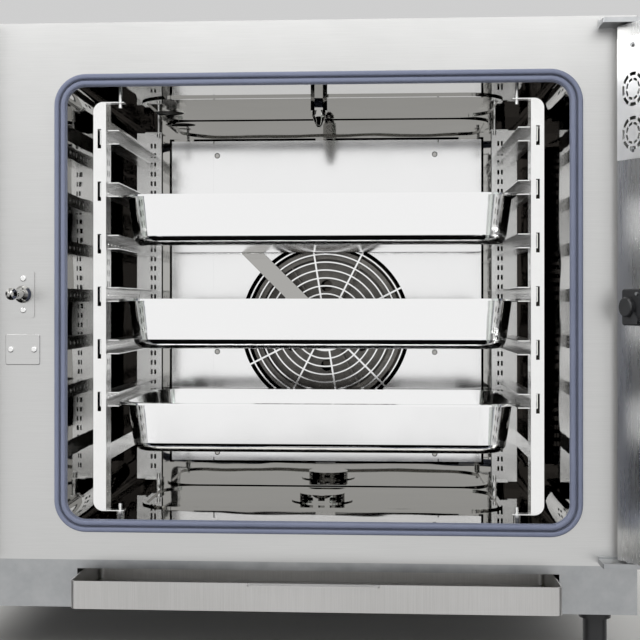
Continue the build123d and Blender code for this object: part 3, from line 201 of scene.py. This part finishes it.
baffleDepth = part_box("baffle_panel")[0].y
finishes = {
    "frontSteel": brushedStainless("brushed stainless front", {
        "dark": "#c4c4c3", "light": "#d2d2d1", "rough": 0.34, "grain": (16, 16, 900), "bump": 0.03,
        "smear": 0.6}),
    "casingSteel": brushedStainless("brushed stainless casing", {
        "dark": "#b4b3b1", "light": "#cdcccb", "rough": 0.34, "grain": (900, 900, 14), "bump": 0.06}),
    "doorSteel": brushedStainless("bright brushed door sheet", {
        "dark": "#d9d9d8", "light": "#e6e6e5", "rough": 0.3, "grain": (260, 260, 12), "bump": 0.02,
        "smear": 0.5}),
    "ventSteel": brushedStainless("white reflecting vent plate", {
        "dark": "#f0f0ef", "light": "#f8f8f8", "rough": 0.4, "grain": (60, 60, 60), "bump": 0.01,
        "smear": 0.3}),
    # the cavity sheet behind the baffle takes a dark colour as painted shade
    "cavitySteel": mirrorStainless("mirror polished stainless", {
        "color": "#a8a7a4", "rough": 0.015, "haze": 0.03, "waves": 6.0, "waviness": 0.3,
        "paintedShadeColor": "#35322f", "paintedShadeFrom": baffleDepth + 0.002}),
    "baffleSteel": mirrorStainless("bright rolled stainless", {
        "color": "#ececec", "rough": 0.09, "haze": 0.05, "waves": 4.0, "waviness": 0.07}),
    "panSteel": mirrorStainless("polished pressed stainless", {
        "color": "#f0f0f0", "rough": 0.07, "haze": 0.05, "waves": 3.0, "waviness": 0.05}),
    "rackSteel": brushedStainless("electropolished stainless", {
        "dark": "#ebebea", "light": "#f4f4f3", "rough": 0.26, "grain": (60, 60, 60), "bump": 0.01,
        "smear": 0.3}),
    # painted shade: the fan wheel, shaft and element get a dark colour that stands in for the shade on the
    # blades behind the baffle
    "fanSteel": brushedStainless("fan stainless darkened as painted shade", {
        "dark": "#5b5956", "light": "#8a8782", "rough": 0.28, "grain": (60, 60, 60), "bump": 0.03}),
    "zincSteel": brushedStainless("zinc plated steel", {
        "dark": "#9fa1a3", "light": "#c3c4c4", "rough": 0.42, "grain": (40, 40, 40), "bump": 0.06}),
    "silicone": siliconeRubber("blue-grey silicone", {"dark": "#5d647a", "light": "#70768b"}),
    "blackPlastic": mouldedPlastic("moulded black plastic", {
        "dark": "#131315", "light": "#1f2022", "rough": 0.42}),
    "displayGlass": mouldedPlastic("gloss black display", {
        "dark": "#050608", "light": "#0b0c10", "rough": 0.1, "bump": 0.0}),
    "lampDiffuser": mouldedPlastic("opal lamp diffuser", {
        "dark": "#e2e2dc", "light": "#f4f3ee", "rough": 0.35}),
    "motorPaint": mouldedPlastic("grey motor enamel", {
        "dark": "#4d5053", "light": "#62666a", "rough": 0.4}),
    "clearGlass": toughenedGlass("toughened glass", {"color": "#f2f7f5"}),
    "wool": mineralWool("mineral wool", {"dark": "#8d7d45", "light": "#c9b878"}),
    "brass": turnedBrass("turned brass", {"dark": "#b08d4a", "light": "#d0b070"}),
}

finishOfNode = {
    "frontSteel": ["front_frame", "control_fascia", "striker_plate", "switch_cover"],
    "casingSteel": ["left_side_panel", "right_side_panel", "top_panel", "door_shell", "drip_tray",
                    "exhaust_stack"],
    "doorSteel": ["door_skin"],
    "ventSteel": ["vent_plate"],
    "cavitySteel": ["cavity_shell", "baffle_frame", "injection_channel", "steam_nozzle", "drain_strainer",
                    "striker_pin", "baffle_screws"],
    "baffleSteel": ["baffle_panel", "baffle_wings"],
    "fanSteel": ["fan_wheel", "motor_shaft", "heating_element"],
    "panSteel": ["top_pan", "middle_pan", "bottom_pan"],
    "rackSteel": ["left_rack_frame", "right_rack_frame", "left_rack_rails", "right_rack_rails", "rack_pegs",
                  "front_screws", "pane_hinges", "drain_pipe", "exhaust_flap"],
    "zincSteel": ["base_pan", "back_panel", "hinge_brackets", "hinge_bushes", "latch_cam", "control_unit"],
    "silicone": ["door_gasket"],
    "blackPlastic": ["feet", "selector_dial", "button_1", "button_2", "button_3", "power_switch",
                     "catch_block", "catch_knob", "door_handle", "cable_gland"],
    "displayGlass": ["control_display"],
    "lampDiffuser": ["door_lamps"],
    "motorPaint": ["fan_motor"],
    "clearGlass": ["door_glass", "inner_pane"],
    "wool": ["insulation"],
    "brass": ["water_inlets"],
}
for finish, names in finishOfNode.items():
    for name in names:
        nodes[name].data.materials.clear()
        nodes[name].data.materials.append(finishes[finish])
print("materials done")


# proportions of a hexagon head screw whose washer has a radius of 1
screwShape = {"washerSides": 32, "washerThick": 0.25, "hexRadius": 0.74, "hexHigh": 0.8, "hexUp": 0.3}


def screwTree(material):
    # washer and hexagon head, one on each point, scaled and turned by the named inputs
    tree = bpy.data.node_groups.new("screw heads", "GeometryNodeTree")
    sockets = {}
    for label, kind, way in (("Spots", "NodeSocketGeometry", "INPUT"),
                             ("Head radius", "NodeSocketFloat", "INPUT"),
                             ("Facing", "NodeSocketVector", "INPUT"),
                             ("Heads", "NodeSocketGeometry", "OUTPUT")):
        sockets[label] = tree.interface.new_socket(label, in_out=way, socket_type=kind).identifier
    given = addNode(tree, "NodeGroupInput").outputs
    washer = addNode(tree, "GeometryNodeMeshCylinder", {
        "Vertices": screwShape["washerSides"], "Radius": 1.0, "Depth": screwShape["washerThick"]})
    hexagon = addNode(tree, "GeometryNodeMeshCylinder", {
        "Vertices": 6, "Radius": screwShape["hexRadius"], "Depth": screwShape["hexHigh"]})
    raised = addNode(tree, "GeometryNodeTransform", {"Translation": (0, 0, screwShape["hexUp"])},
                     {"Geometry": hexagon.outputs["Mesh"]})
    joined = addNode(tree, "GeometryNodeJoinGeometry")
    tree.links.new(washer.outputs["Mesh"], joined.inputs[0])
    tree.links.new(raised.outputs["Geometry"], joined.inputs[0])
    placed = addNode(tree, "GeometryNodeInstanceOnPoints", None, {
        "Points": given["Spots"], "Instance": joined.outputs["Geometry"], "Rotation": given["Facing"],
        "Scale": given["Head radius"]})
    solid = addNode(tree, "GeometryNodeRealizeInstances", None, {"Geometry": placed.outputs["Instances"]})
    finished = addNode(tree, "GeometryNodeSetMaterial", {"Material": material},
                       {"Geometry": solid.outputs["Geometry"]})
    addNode(tree, "NodeGroupOutput", None, {"Heads": finished.outputs["Geometry"]})
    return tree, sockets


def screwRow(name, body, spots, radius, facing):
    points = bpy.data.meshes.new(name)
    points.from_pydata([tuple(s) for s in spots], [], [])
    piece = bpy.data.objects.new(name, points)
    bpy.context.scene.collection.objects.link(piece)
    modifier = piece.modifiers.new("heads", "NODES")
    modifier.node_group = screws
    modifier[screwSockets["Head radius"]] = radius
    modifier[screwSockets["Facing"]] = Vector(facing).to_track_quat("Z", "Y").to_euler()[:]
    piece.update_tag()
    bpy.context.view_layer.update()
    shown = piece.evaluated_get(bpy.context.evaluated_depsgraph_get())
    baked = bpy.data.meshes.new_from_object(shown)
    piece.modifiers.clear()
    piece.data = baked
    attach(piece, body)


screws, screwSockets = screwTree(finishes["zincSteel"])

# screws that hold the back panel, down both edges and along the top
rearScrews = {"radius": 0.005, "inset": 0.012, "down": 7, "across": 6}
rearLow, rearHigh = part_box("back_panel")
edgeLeft, edgeRight = rearLow.x + rearScrews["inset"], rearHigh.x - rearScrews["inset"]
edgeLow, edgeHigh = rearLow.z + rearScrews["inset"], rearHigh.z - rearScrews["inset"]
rearSpots = []
for i in range(rearScrews["down"]):
    height = edgeLow + (edgeHigh - edgeLow) * i / (rearScrews["down"] - 1)
    rearSpots += [(edgeLeft, rearHigh.y, height), (edgeRight, rearHigh.y, height)]
for i in range(1, rearScrews["across"]):
    sideways = edgeLeft + (edgeRight - edgeLeft) * i / rearScrews["across"]
    rearSpots.append((sideways, rearHigh.y, edgeHigh))
screwRow("back_panel_screws", "casing", rearSpots, rearScrews["radius"], (0, 1, 0))

# screws of the catch block and the vent plate, on the inside of the open door
doorScrews = {"radius": 0.0032, "fromKnob": 0.016, "towardsPane": 0.011, "fromEnd": 0.011,
              "blockHalf": 0.006, "plateHalf": 0.0008}
swing = next(j for j in frame["record"]["behaviour"]["joints"] if j["name"] == "door_swing")
doorTurn = math.radians(-swing["range_deg"][0])
doorInward = Vector((-math.sin(doorTurn), math.cos(doorTurn), 0))
doorAlong = Vector((-math.cos(doorTurn), -math.sin(doorTurn), 0))
blockLow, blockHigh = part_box("catch_block")
blockFace = (blockLow + blockHigh) / 2 + doorInward * doorScrews["blockHalf"]
blockFace += doorAlong * doorScrews["towardsPane"]
ventLow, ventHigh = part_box("vent_plate")
ventFace = (ventLow + ventHigh) / 2 + doorInward * doorScrews["plateHalf"]
ventReach = (ventHigh.z - ventLow.z) / 2 - doorScrews["fromEnd"]
doorSpots = [blockFace + Vector((0, 0, side * doorScrews["fromKnob"])) for side in (-1, 1)]
doorSpots += [ventFace + Vector((0, 0, side * ventReach)) for side in (-1, 1)]
screwRow("door_screws", "door", doorSpots, doorScrews["radius"], doorInward)
print("screws done")

# camera at eye level with the cavity's middle, a little to its right, turned slightly to the left
mouthLow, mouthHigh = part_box("door_gasket")
mouthMiddle = (mouthLow + mouthHigh) / 2
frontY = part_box("front_frame")[0].y
view = {"right": 0.072, "distance": 1.765, "turn": 3.98, "lens": 79.3, "shiftX": 0.0703, "shiftY": -0.0266}
cameraData = bpy.data.cameras.new("camera")
cameraData.lens = view["lens"]
cameraData.sensor_width = 36
cameraData.shift_x = view["shiftX"]
cameraData.shift_y = view["shiftY"]
camera = bpy.data.objects.new("camera", cameraData)
camera.location = (mouthMiddle.x + view["right"], frontY - view["distance"], mouthMiddle.z)
camera.rotation_euler = (math.radians(90), 0, math.radians(view["turn"]))
bpy.context.scene.collection.objects.link(camera)
bpy.context.scene.camera = camera

# pale floor under the feet
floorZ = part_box("feet")[0].z
floorMesh = bpy.data.meshes.new("floor")
floorHalf = 6
corners = [(floorHalf * x, floorHalf * y, floorZ) for x, y in ((-1, -1), (1, -1), (1, 1), (-1, 1))]
floorMesh.from_pydata(corners, [], [(0, 1, 2, 3)])
floor = bpy.data.objects.new("floor", floorMesh)
bpy.context.scene.collection.objects.link(floor)
floorPaint = startMaterial("pale floor", {"Base Color": hexColor("#dcdbd8"), "Roughness": 0.6})[0]
floorMesh.materials.append(floorPaint)
floor.visible_glossy = False  # keeps the pans' lower edges dark


def areaLight(name, place, target, size, power):
    data = bpy.data.lights.new(name, "AREA")
    data.shape = "RECTANGLE"
    data.size, data.size_y = size
    data.energy = power
    light = bpy.data.objects.new(name, data)
    light.location = place
    light.rotation_euler = (Vector(target) - Vector(place)).to_track_quat("-Z", "Y").to_euler()
    bpy.context.scene.collection.objects.link(light)


middle = (mouthMiddle.x, frontY, mouthMiddle.z)
areaLight("key panel", (-2.3, -2.4, 1.9), middle, (1.2, 1.6), 12)
areaLight("fill panel", (2.5, -2.2, 1.6), middle, (1.0, 1.4), 9)
areaLight("top panel", (0.1, -1.0, 2.9), middle, (2.4, 1.4), 16)
areaLight("upper front panel", (0.3, -3.2, 2.3), middle, (3.2, 1.4), 34)
areaLight("door panel", (-2.4, -0.75, 1.5), (0.6, -0.65, 0.6), (0.6, 1.0), 24)
areaLight("rear panel", (-1.2, 3.0, 2.2), middle, (2.4, 1.8), 30)

# studio shell: white in front down to a hard lower edge, pale overhead and behind, black at the sides
studio = {"front": 1.0, "lowEdge": -0.39, "lowSoft": 0.03, "sideEdge": 0.22, "sideSoft": 0.08,
          "overhead": 0.7, "overheadFrom": 0.25, "overheadTo": 0.7,
          "behind": 0.62, "behindFrom": 0.05, "behindTo": 0.35, "white": "#ffffff", "black": "#060606"}
world = bpy.data.worlds.new("studio")
bpy.context.scene.world = world
world.use_nodes = True
shell = world.node_tree
direction = addNode(shell, "ShaderNodeTexCoord").outputs["Generated"]
split = addNode(shell, "ShaderNodeSeparateXYZ", None, {"Vector": direction})
sideStart = -studio["sideEdge"]
lowStart, lowEnd = studio["lowEdge"] - studio["lowSoft"], studio["lowEdge"] + studio["lowSoft"]
inFront = remap(shell, split.outputs["Y"], 0.0, studio["front"], sideStart, sideStart - studio["sideSoft"])
aboveEdge = remap(shell, split.outputs["Z"], 0.0, 1.0, lowStart, lowEnd)
upward = remap(shell, split.outputs["Z"], 0.0, studio["overhead"],
               studio["overheadFrom"], studio["overheadTo"])
behind = remap(shell, split.outputs["Y"], 0.0, studio["behind"], studio["behindFrom"], studio["behindTo"])


def combine(operation, first, second):
    node = addNode(shell, "ShaderNodeMath", {"operation": operation})
    shell.links.new(first, node.inputs[0])
    shell.links.new(second, node.inputs[1])
    return node.outputs[0]


lobe = combine("MULTIPLY", combine("MAXIMUM", inFront, behind), aboveEdge)
brightness = combine("MAXIMUM", lobe, upward)
tint = blendColors(shell, brightness, hexColor(studio["black"]), hexColor(studio["white"]))
shell.links.new(tint, shell.nodes["Background"].inputs["Color"])
shell.nodes["Background"].inputs["Strength"].default_value = 1.0
print("stage done")

bpy.context.scene.view_settings.view_transform = "Standard"
